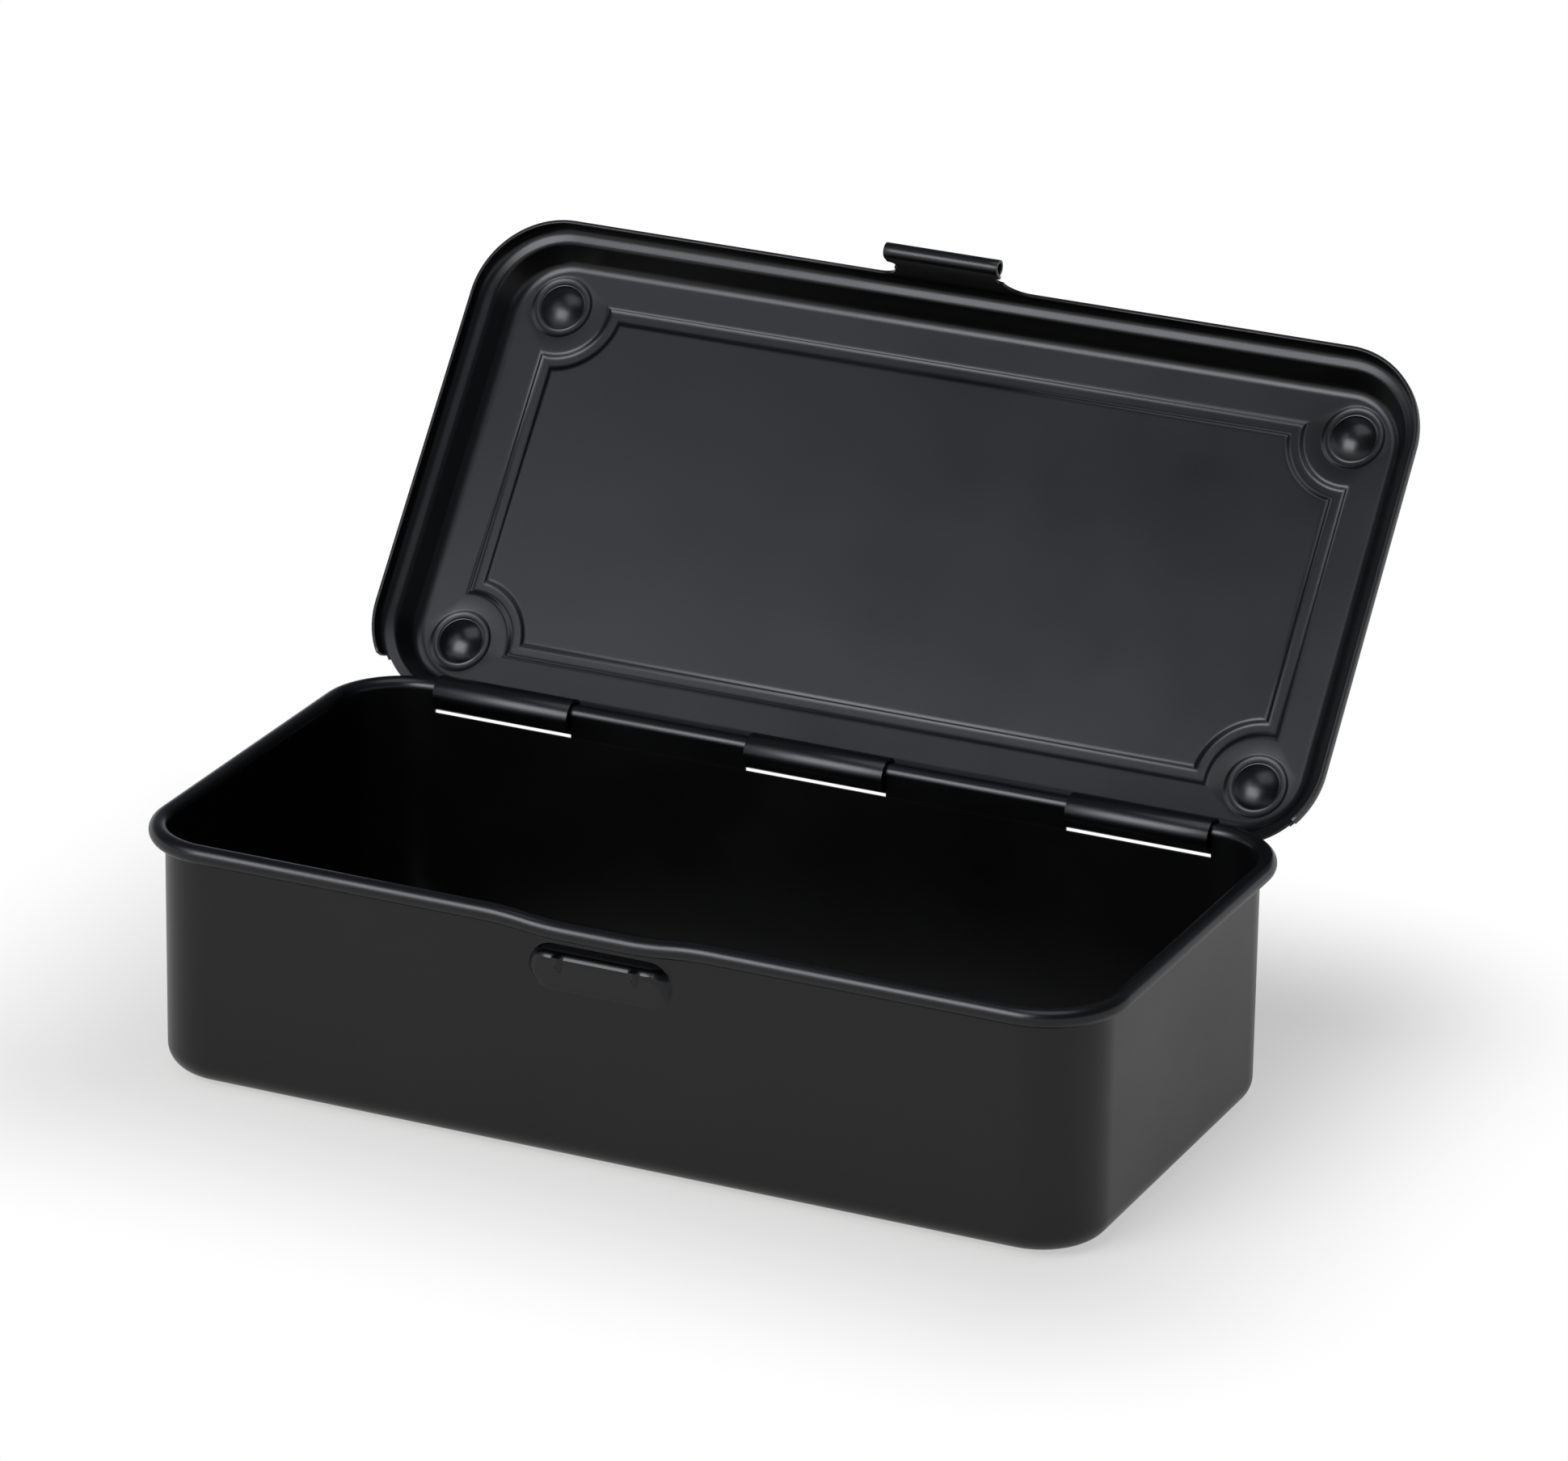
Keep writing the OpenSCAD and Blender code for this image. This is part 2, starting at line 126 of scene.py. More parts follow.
class Bench:
    """A mesh that is shaped in edit mode with operators, in millimetres."""

    def __init__(self, name: str) -> None:
        """Start from a plane that is merged to one point.

        Args:
            name: Name of the piece.
        """
        bpy.ops.object.select_all(action="DESELECT")
        bpy.ops.mesh.primitive_plane_add(size=1.0, enter_editmode=True, location=(0, 0, 0))
        self.obj = bpy.context.object
        self.obj.name = name
        self.obj.data.name = name
        bpy.ops.mesh.select_mode(type="VERT")
        bpy.ops.mesh.select_all(action="SELECT")
        bpy.ops.mesh.merge(type="CENTER")

    def move(self, step: Vector) -> None:
        """Move what is selected."""
        bpy.ops.transform.translate(value=step)

    def extrude(self, step: Vector) -> None:
        """Extrude what is selected."""
        bpy.ops.mesh.extrude_region_move(TRANSFORM_OT_translate={"value": step})

    def resize(self, factors: Sequence[float], centre: Vector) -> None:
        """Scale what is selected about a point."""
        bpy.ops.transform.resize(value=factors, center_override=centre)

    def spin(self, centre: Vector, axis: Vector, degrees: float, steps: int) -> None:
        """Sweep what is selected round an axis through a point, right-handed about the axis."""
        bpy.ops.mesh.spin(steps=steps, angle=-math.radians(degrees), center=centre, axis=axis)

    def new_point(self, place: Vector) -> None:
        """Add a lone point and leave only it selected.

        Args:
            place: Place of the point.
        """
        bpy.ops.mesh.select_mode(type="VERT")
        bpy.ops.mesh.select_all(action="DESELECT")
        bpy.ops.mesh.primitive_plane_add(size=1.0, location=place)
        bpy.ops.mesh.merge(type="CENTER")

    def new_circle(self, place: Vector, radius: float, points: int) -> None:
        """Add a level circle and leave only it selected.

        Args:
            place: Middle of the circle.
            radius: Radius of the circle.
            points: Number of points round it.
        """
        bpy.ops.mesh.select_mode(type="VERT")
        bpy.ops.mesh.select_all(action="DESELECT")
        bpy.ops.mesh.primitive_circle_add(vertices=points, radius=radius, location=place)

    def everything(self) -> None:
        """Select the whole mesh."""
        bpy.ops.mesh.select_all(action="SELECT")

    def merge(self) -> None:
        """Merge points that lie together."""
        self.everything()
        bpy.ops.mesh.remove_doubles(threshold=SAME)

    def pick_faces(self, test: Callable[[Vector], bool]) -> None:
        """Select the faces whose middle passes a test.

        Args:
            test: Says whether a face with this middle is wanted.
        """
        bpy.ops.mesh.select_mode(type="FACE")
        bpy.ops.mesh.select_all(action="DESELECT")
        mesh = bmesh.from_edit_mesh(self.obj.data)
        wanted = [face for face in mesh.faces if test(face.calc_center_median())]
        for face in wanted:
            face.select_set(True)
        bmesh.update_edit_mesh(self.obj.data)

    def pick_open_edges(self, test: Callable[[Vector], bool]) -> None:
        """Select the open edges of which both ends pass a test.

        Args:
            test: Says whether an end at this place is wanted.
        """
        bpy.ops.mesh.select_mode(type="EDGE")
        bpy.ops.mesh.select_all(action="DESELECT")
        mesh = bmesh.from_edit_mesh(self.obj.data)
        wanted = [
            edge
            for edge in mesh.edges
            if len(edge.link_faces) < 2 and all(test(end.co) for end in edge.verts)
        ]
        for edge in wanted:
            edge.select_set(True)
        bmesh.update_edit_mesh(self.obj.data)

    def close_level(self, level: float, test: Callable[[list[Vector]], bool]) -> None:
        """Close a level gap between open edges with triangles.

        Args:
            level: Height of the gap's edges.
            test: Says whether a triangle with these corners belongs to the sheet.
        """
        self.pick_open_edges(lambda end: abs(end.z - level) < SAME)
        mesh = bmesh.from_edit_mesh(self.obj.data)
        rim = [edge for edge in mesh.edges if edge.select]
        ends = list({end for edge in rim for end in edge.verts})
        ends.sort(key=lambda end: end.index)
        order = {end: place for place, end in enumerate(ends)}
        lines = [tuple(order[end] for end in edge.verts) for edge in rim]
        triangles = delaunay_2d_cdt([end.co.xy for end in ends], lines, [], 1, SAME / 10)[2]
        for triangle in triangles:
            points = [ends[place] for place in triangle]
            if test([point.co for point in points]):
                mesh.faces.new(points)
        bmesh.update_edit_mesh(self.obj.data)

    def cut(self, test: Callable[[Vector], bool]) -> None:
        """Delete the faces whose middle passes a test."""
        self.pick_faces(test)
        bpy.ops.mesh.delete(type="FACE")

    def press(self, shift: Callable[[Vector], Vector]) -> None:
        """Move every point as a press tool forms the sheet.

        Args:
            shift: Says by how much a point at this place moves.
        """
        mesh = bmesh.from_edit_mesh(self.obj.data)
        for point in mesh.verts:
            point.co += shift(point.co)
        bmesh.update_edit_mesh(self.obj.data)

    def face_the_metal(self, test: Callable[[Vector], bool], towards: Vector) -> None:
        """Turn all faces to the side on which the thickness goes.

        Args:
            test: Picks faces whose direction is known.
            towards: Direction that those faces are to have.
        """
        self.everything()
        bpy.ops.mesh.normals_make_consistent(inside=False)
        self.pick_faces(test)
        mesh = bmesh.from_edit_mesh(self.obj.data)
        known = next(face for face in mesh.faces if face.select)
        turn = known.normal.dot(towards) < 0
        self.everything()
        if turn:
            bpy.ops.mesh.flip_normals()

    def finish(self, thickness: float, edge_r: float, place: Matrix) -> bpy.types.Object:
        """Give the sheet its thickness and its soft edges, and leave it at its place in metres.

        Args:
            thickness: Thickness of the sheet.
            edge_r: Radius of the sheet's edges.
            place: Turn and place of the piece, in millimetres.

        Returns:
            The finished object, untransformed.
        """
        bpy.ops.object.mode_set(mode="OBJECT")
        wall = self.obj.modifiers.new("wall", "SOLIDIFY")
        wall.thickness = thickness
        wall.offset = 1.0
        wall.use_even_offset = True
        wall.use_quality_normals = True
        edge = self.obj.modifiers.new("edge", "BEVEL")
        edge.width = edge_r
        edge.segments = 2
        edge.limit_method = "ANGLE"
        edge.angle_limit = math.radians(EDGE_ANGLE)
        for modifier in (wall, edge):
            bpy.ops.object.modifier_apply(modifier=modifier.name)
        self.obj.matrix_world = Matrix.Scale(MM, 4) @ place
        bpy.ops.object.transform_apply(location=True, rotation=True, scale=True)
        bpy.ops.object.shade_smooth_by_angle(angle=math.radians(SMOOTH_ANGLE))
        return self.obj


class Walker:
    """Walks straight runs and bends, and extrudes or spins what is selected along them."""

    def __init__(self, bench: Bench, place: Vector, heading: Vector, axis: Vector) -> None:
        """Set out from a place.

        Args:
            bench: Mesh that is drawn on.
            place: Starting place.
            heading: Starting direction.
            axis: Direction about which a left bend turns.
        """
        self.bench = bench
        self.place = place.copy()
        self.heading = heading.copy()
        self.axis = axis.copy()

    def run(self, stops: Sequence[float]) -> None:
        """Walk straight.

        Args:
            stops: Rising distances from here at which the run has a line of points.
        """
        done = 0.0
        for stop in stops:
            self.bench.extrude(self.heading * (stop - done))
            done = stop
        self.place += self.heading * done

    def bend(self, turn: float, radius: float, steps: int) -> None:
        """Walk round an arc.

        Args:
            turn: Angle in degrees, left of the heading if positive.
            radius: Radius of the arc.
            steps: Number of steps.
        """
        side = math.copysign(radius, turn)
        centre = self.place + self.axis.cross(self.heading) * side
        self.bench.spin(centre, self.axis, turn, steps)
        rotation = Matrix.Rotation(math.radians(turn), 3, self.axis)
        self.place = centre + rotation @ (self.place - centre)
        self.heading = rotation @ self.heading


def supported(length: float, near: float = NEAR) -> list[float]:
    """Rising stops of a straight run, two of them near its ends to keep their shading short."""
    return [near, length - near, length]


class Shading:
    """Nodes of a material or a world, added one by one."""

    def __init__(self, owner: bpy.types.Material | bpy.types.World) -> None:
        """Switch the nodes on.

        Args:
            owner: Material or world that the nodes belong to.
        """
        owner.use_nodes = True
        self.nodes = owner.node_tree.nodes
        self.links = owner.node_tree.links

    def feed(self, node: bpy.types.Node, inputs: Inputs) -> None:
        """Set inputs of a node.

        Args:
            node: Node whose inputs are set.
            inputs: For each input its value, or the output that is linked to it.
        """
        for name, value in inputs.items():
            if isinstance(value, bpy.types.NodeSocket):
                self.links.new(value, node.inputs[name])
            else:
                node.inputs[name].default_value = value

    def add(self, kind: str, inputs: Inputs, **settings: str) -> bpy.types.Node:
        """Add a node.

        Args:
            kind: Type of the node, without the word ShaderNode.
            inputs: For each input its value, or the output that is linked to it.
            settings: Settings of the node, by name.

        Returns:
            The node.
        """
        node = self.nodes.new("ShaderNode" + kind)
        for name, value in settings.items():
            setattr(node, name, value)
        self.feed(node, inputs)
        return node


@dataclass(frozen=True)
class SatinPaint:
    """Black stoved paint with a fine orange peel, on pressed steel."""

    name: str
    seed: float
    deep: tuple[float, float, float] = (0.0003, 0.0003, 0.0004)
    pale: tuple[float, float, float] = (0.0008, 0.0008, 0.001)
    roughness: tuple[float, float] = (0.27, 0.33)
    ior: float = 1.47
    cloud_scale: float = 38.0
    cloud_detail: float = 4.0
    cloud_range: tuple[float, float] = (0.3, 0.7)
    peel_scale: float = 1900.0
    peel_detail: float = 2.0
    peel_strength: float = 0.12
    peel_depth: float = 0.00004

    def make(self) -> bpy.types.Material:
        """Build the material.

        Returns:
            A material that reads Object coordinates only.
        """
        material = bpy.data.materials.new(self.name)
        shading = Shading(material)
        where = shading.add("TexCoord", {}).outputs["Object"]
        seed = (self.seed, self.seed, self.seed)
        shift = shading.add("Mapping", {"Vector": where, "Location": seed}).outputs["Vector"]
        cloud = shading.add(
            "TexNoise", {"Vector": shift, "Scale": self.cloud_scale, "Detail": self.cloud_detail}
        ).outputs["Fac"]
        tone = shading.add(
            "Mix",
            {"A": (*self.deep, 1.0), "B": (*self.pale, 1.0), "Factor": cloud},
            data_type="RGBA",
        )
        gloss = shading.add(
            "MapRange",
            {
                "From Min": self.cloud_range[0],
                "From Max": self.cloud_range[1],
                "To Min": self.roughness[0],
                "To Max": self.roughness[1],
                "Value": cloud,
            },
        )
        peel = shading.add(
            "TexNoise", {"Vector": shift, "Scale": self.peel_scale, "Detail": self.peel_detail}
        ).outputs["Fac"]
        bump = shading.add(
            "Bump",
            {"Strength": self.peel_strength, "Distance": self.peel_depth, "Height": peel},
        )
        paint = {
            "Base Color": tone.outputs["Result"],
            "Roughness": gloss.outputs["Result"],
            "IOR": self.ior,
            "Normal": bump.outputs["Normal"],
        }
        shading.feed(shading.nodes["Principled BSDF"], paint)
        return material


@dataclass(frozen=True)
class Tray:
    """Deep drawn tray: rolled rim, dip, lanced catch, hinge slots and pressed feet."""

    sizes: Sizes
    # Floor, wall and rolled rim
    floor_lead: float = 0.5
    fillet_steps: int = 12
    roll_wrap: float = 280.0
    roll_steps: int = 30
    plain_rows: tuple[float, ...] = (12.0, 20.0, 28.0)
    rim_rows: tuple[float, ...] = (2.6, 1.3, 0.4, 0.0)
    plain_columns: tuple[float, ...] = (40.0, 60.0)
    wall_depth: float = 1.0
    # Dip of the rim at the front
    dip_h: float = 1.15
    dip_flat: float = 6.0
    dip_run: float = 18.0
    dip_lead: float = 0.2
    dip_from: float = 17.0
    dip_columns: int = 9
    # Hinge slots
    slot_drop: float = 4.65
    slot_gap: float = 0.3
    slot_row: float = 0.8
    # Catch, with the widths of the roundings at its foot, sides and brow
    catch_z: float = 39.15
    catch_end_r: float = 4.75
    catch_half: float = 9.9
    catch_out: float = 2.5
    catch_inset: float = 0.2
    foot_soft: float = 0.5
    side_soft: float = 1.2
    brow_soft: float = 0.3
    catch_row: float = 0.3
    rows_below: float = 0.9
    rows_past: float = 0.1
    catch_columns: int = 34
    # Ledge of the catch
    ledge_drop: float = 1.5
    ledge_r: float = 0.7
    lip_rows: tuple[float, ...] = (0.55, 0.4, 0.25, 0.12, 0.0)
    lip_turn: float = 0.97
    lip_share: float = 0.8
    # Slit above the ledge, and how far its form reaches into the wall
    slit_h: float = 1.2
    slit_calm: float = 2.0
    slit_below: float = 1.6
    slit_columns: int = 10
    calm_columns: int = 11
    calm_step: float = 0.25
    # Darts that stiffen the ledge
    dart_x: float = 7.9
    dart_half: float = 1.3
    dart_h: float = 2.8
    dart_out: float = 0.75
    dart_lead: float = 0.15
    # Pressed feet
    foot_r: float = 4.2
    foot_h: float = 0.8
    foot_lip: tuple[tuple[float, float], ...] = ((4.6, 0.0), (4.3, -0.02))
    foot_radii: tuple[float, ...] = (3.8, 3.3, 2.8, 2.2, 1.6, 1.0, 0.5)

    def wall_stops(self) -> list[float]:
        """Place the rows of points in the wall.

        Returns:
            Heights of the rows above the floor's fillet.
        """
        base = self.sizes.bottom_r
        foot = self.catch_z - self.catch_end_r
        ledge = self.ledge_z()
        count = math.floor((ledge - foot + self.rows_past) / self.catch_row)
        catch = [foot - self.rows_below + self.catch_row * i for i in range(count)]
        slit = [*[ledge - drop for drop in self.lip_rows], ledge + self.slit_h]
        slot_foot = self.sizes.rim_z - self.slot_drop
        top = [slot_foot, slot_foot + self.slot_row, *[self.sizes.rim_z - drop for drop in self.rim_rows]]
        rows = [base + NEAR, *self.plain_rows, *catch, *slit, *top]
        return [row - base for row in rows]

    def ledge_z(self) -> float:
        """Height of the catch's ledge."""
        return self.catch_z + self.catch_end_r - self.ledge_drop

    def front_stops(self) -> list[float]:
        """Place the columns of points in the front.

        Returns:
            Distances of the columns from the middle, to the corner.
        """
        reach = self.slit_reach()
        middle = [self.catch_half * i / self.catch_columns for i in range(1, self.catch_columns + 1)]
        ends = [self.catch_half + reach * i / self.slit_columns for i in range(1, self.slit_columns + 1)]
        calm = [self.catch_half + reach + self.calm_step * i for i in range(1, self.calm_columns + 1)]
        dip = [self.dip_from + i for i in range(self.dip_columns)]
        corner = self.sizes.corner_x
        return [*middle, *ends, *calm, *dip, *self.plain_columns, corner - NEAR, corner]

    def slit_r(self) -> float:
        """Radius of the slit's round ends."""
        return self.catch_end_r - self.ledge_drop + self.slit_h

    def slit_reach(self) -> float:
        """Distance that a round end of the slit reaches past the ledge."""
        return math.sqrt(self.slit_r() ** 2 - (self.catch_end_r - self.ledge_drop) ** 2)

    def slit_fall(self, x: float, z: float) -> float:
        """Run the slit's upper edge down in an arc at its ends.

        Args:
            x: Distance of a point of the wall from the middle.
            z: Height of the point.

        Returns:
            Drop of the point.
        """
        along = abs(x) - self.catch_half
        if along <= 0 or z < self.ledge_z() + SAME:
            return 0.0
        inside = min(along, self.slit_reach())
        fall = self.slit_r() - math.sqrt(self.slit_r() ** 2 - inside ** 2)
        past = clamped((along - self.slit_reach()) / self.slit_calm)
        calm = self.sizes.rim_z - self.dip_h - self.slit_below
        return fall * (1 - past) * clamped((calm - z) / (calm - self.ledge_z() - self.slit_h))

    def dart(self, x: float, z: float) -> float:
        """Raise the two small darts that stiffen the ledge.

        Args:
            x: Distance of a point of the wall from the middle.
            z: Height of the point.

        Returns:
            Height of a dart at the point.
        """
        low = (self.ledge_z() - self.ledge_r - z) / self.dart_h
        if low < -self.dart_lead or low >= 1:
            return 0.0
        start = min(low / self.dart_lead + 1, 1.0)
        left = 1 - max(low, 0.0)
        flank = max(1 - abs(abs(x) - self.dart_x) / (self.dart_half * left), 0.0)
        return self.dart_out * start * math.sqrt(left) * smooth(flank)

    def slot_half(self) -> float:
        """Half the width of a hinge slot."""
        return self.sizes.knuckle_len / 2 + self.slot_gap

    def rear_stops(self) -> list[float]:
        """Place the columns of points in the rear.

        Returns:
            Distances of the columns from the right corner.
        """
        half = self.slot_half()
        pitch = self.sizes.knuckle_pitch
        ends = [side * half + place * pitch for place in (1, 0, -1) for side in (1, -1)]
        corner = self.sizes.corner_x
        return [NEAR, *[corner - end for end in ends], 2 * corner - NEAR, 2 * corner]

    def dip(self, x: float) -> float:
        """Let the rim down at the middle, on two equal arcs.

        Args:
            x: Distance from the middle.

        Returns:
            Drop of the rim.
        """
        along = (abs(x) - self.dip_flat) / self.dip_run
        if along <= 0:
            return self.dip_h
        if along >= 1:
            return 0.0
        half = min(along, 1 - along)
        bow = 2 * half * half
        return self.dip_h * (1 - bow if along < 0.5 else bow)

    def catch(self, x: float, z: float) -> float:
        """Press the catch out: a ramp with round sloping ends, up to a rounded ledge.

        Args:
            x: Distance of a point of the wall from the middle.
            z: Height of the point.

        Returns:
            Distance that the point is pressed out.
        """
        high = z - self.catch_z
        aside = max(abs(x) - self.catch_half, 0.0)
        end_r = self.catch_end_r - self.catch_inset
        side = (end_r - math.hypot(aside, high)) * self.catch_out / self.ledge_drop
        ramp = (high + end_r) * self.catch_out / (self.catch_end_r + end_r - self.ledge_drop)
        form = soft_least(soft_least(ramp, side, self.side_soft), self.catch_out, self.brow_soft)
        if z <= self.ledge_z() + SAME:
            near = min(max(1 - (self.ledge_z() - z) / self.ledge_r, 0.0), self.lip_turn)
            lip = self.ledge_r * (1 - math.sqrt(1 - near * near))
            form -= min(lip, max(form, 0.0) * self.lip_share)
        return self.dart(x, z) - soft_least(-form, 0.0, self.foot_soft)

    def shape(self, place: Vector) -> Vector:
        """Form the front wall.

        Args:
            place: Place of a point of the sheet.

        Returns:
            Move of the point that the dip, the slit and the catch ask for.
        """
        s = self.sizes
        if place.y > -s.corner_y - s.corner_r + s.sheet + self.wall_depth:
            return Vector()
        start = self.ledge_z() + self.slit_h + self.dip_lead
        share = clamped((place.z - start) / (s.rim_z - self.dip_h - start))
        fall = self.slit_fall(place.x, place.z)
        out = 0.0
        if place.z < start:
            out = max(self.catch(place.x, place.z - fall), 0.0)
        return Vector((0.0, -out, -self.dip(place.x) * share - fall))

    def build(self, paint: bpy.types.Material) -> bpy.types.Object:
        """Shape the tray.

        Args:
            paint: Material of the tray.

        Returns:
            The finished piece.
        """
        s = self.sizes
        bench = Bench("tray_shell")
        floor_o = s.path_r - s.roll_r - (s.bottom_r - s.sheet)
        start = FRONT * (s.corner_y + floor_o - self.floor_lead) + UP * s.sheet
        bench.move(start)
        section = Walker(bench, start, FRONT, -RIGHT)
        section.run([self.floor_lead])
        section.bend(90, s.bottom_r - s.sheet, self.fillet_steps)
        section.run(self.wall_stops())
        section.bend(-self.roll_wrap, s.roll_r, self.roll_steps)
        sweep(bench, s, self.front_stops(), self.rear_stops(), ((90, CORNER_STEPS),))
        half = self.slot_half()
        foot = s.rim_z - self.slot_drop
        wall_y = s.rim_y - s.roll_r

        def in_slot(middle: Vector) -> bool:
            """Whether a face of the rear wall lies in a hinge slot."""
            near = min(abs(middle.x - place * s.knuckle_pitch) for place in (-1, 0, 1))
            return abs(middle.y - wall_y) < SAME and near < half and foot < middle.z < s.rim_z

        def in_slit(middle: Vector) -> bool:
            """Whether a face of the front wall lies in the slit above the catch."""
            low = self.ledge_z()
            reach = self.catch_half + self.slit_reach()
            return middle.y < 0 and abs(middle.x) < reach and low < middle.z < low + self.slit_h

        def on_outer_wall(middle: Vector) -> bool:
            """Whether a face lies in the right wall."""
            beside = middle.x > s.corner_x and abs(middle.y) < s.corner_y
            return beside and s.bottom_r < middle.z < self.catch_z

        bench.cut(in_slot)
        bench.cut(in_slit)
        bench.press(self.shape)
        bench.merge()
        for place in corners(s.foot_x, s.foot_y):
            dimple(bench, place + UP * s.sheet, self.foot_rings())
        foot_r = self.foot_rings()[0][0]
        bench.close_level(s.sheet, lambda ends: outside(ends, s.foot_x, s.foot_y, foot_r))
        bench.face_the_metal(on_outer_wall, RIGHT)
        piece = bench.finish(s.sheet, s.edge_r, Matrix.Identity(4))
        piece.data.materials.append(paint)
        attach(piece, Body.TRAY.value)
        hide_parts("tray")
        return piece

    def foot_rings(self) -> list[tuple[float, float]]:
        """Draw a pressed foot: a lip and a shallow ball.

        Returns:
            Radius and height of each ring, from outside in.
        """
        ball = (self.foot_r ** 2 + self.foot_h ** 2) / (2 * self.foot_h)
        inner = ball - self.sizes.sheet
        level = ball - self.foot_h - self.sizes.sheet
        return [*self.foot_lip, *[(r, level - math.sqrt(inner ** 2 - r ** 2)) for r in self.foot_radii]]


def clamped(value: float) -> float:
    """Value held between nought and one."""
    return min(max(value, 0.0), 1.0)


def smooth(share: float) -> float:
    """Share that starts and ends gently."""
    return share * share * (3 - 2 * share)


def quarter(steps: int) -> list[tuple[float, float]]:
    """Sine and cosine at the even steps of a quarter turn, past its start."""
    turns = [math.radians(90 * i / steps) for i in range(1, steps + 1)]
    return [(math.sin(turn), math.cos(turn)) for turn in turns]


def soft_least(a: float, b: float, width: float) -> float:
    """Smaller of two values, with a rounded change from one to the other."""
    near = max(width - abs(a - b), 0.0) / width
    return min(a, b) - near * near * width / 4


def corners(x: float, y: float) -> list[Vector]:
    """The four places at a distance from the middle."""
    return [Vector((sx * x, sy * y, 0.0)) for sx in (-1, 1) for sy in (-1, 1)]


def outside(ends: list[Vector], x: float, y: float, radius: float) -> bool:
    """Whether a triangle isn't one of those that fill a dimple.

    Args:
        ends: Corners of the triangle.
        x: Distance of the dimples from the middle, sideways.
        y: Distance of the dimples from the middle, front to back.
        radius: Radius of a dimple.

    Returns:
        True unless all the corners lie on a dimple's outer ring.
    """
    middle = sum(ends, Vector()) / len(ends)
    away = [math.hypot(abs(end.x) - x, abs(end.y) - y) - radius for end in (middle, *ends)]
    return away[0] > 0 or any(abs(distance) > SAME for distance in away[1:])


def dimple(bench: Bench, place: Vector, rings: Sequence[tuple[float, float]]) -> None:
    """Press a round dimple.

    Args:
        bench: Mesh that is drawn on.
        place: Middle of the dimple, at the level of the sheet.
        rings: Radius and height of each ring, from outside in.
    """
    radius, height = rings[0]
    bench.new_circle(place + UP * height, radius, DIMPLE_POINTS)
    for next_radius, next_height in rings[1:]:
        bench.extrude(UP * (next_height - height))
        share = next_radius / radius
        bench.resize((share, share, 1.0), place)
        radius, height = next_radius, next_height
    bpy.ops.mesh.edge_face_add()
    bpy.ops.mesh.poke()


def sweep(
    bench: Bench,
    sizes: Sizes,
    front: Sequence[float],
    rear: Sequence[float],
    rear_corner: Sequence[tuple[float, int]],
) -> None:
    """Carry a section that stands at the middle of the front once round the box.

    Args:
        bench: Mesh whose points are all of the section.
        sizes: Sizes of the box.
        front: Stops from the middle of the front to the corner.
        rear: Stops along the rear, from corner to corner.
        rear_corner: Turns and steps of the right rear corner.
    """
    bench.everything()
    side = supported(2 * sizes.corner_y)
    walker = Walker(bench, FRONT * sizes.rim_y, RIGHT, UP)
    walker.run(front)
    walker.bend(90, sizes.path_r, CORNER_STEPS)
    walker.run(side)
    for turn, steps in rear_corner:
        walker.bend(turn, sizes.path_r, steps)
    walker.run(rear)
    for turn, steps in reversed(rear_corner):
        walker.bend(turn, sizes.path_r, steps)
    walker.run(side)
    walker.bend(90, sizes.path_r, CORNER_STEPS)
    walker.run([sizes.corner_x - stop for stop in reversed(front[:-1])] + [sizes.corner_x])
    bench.merge()


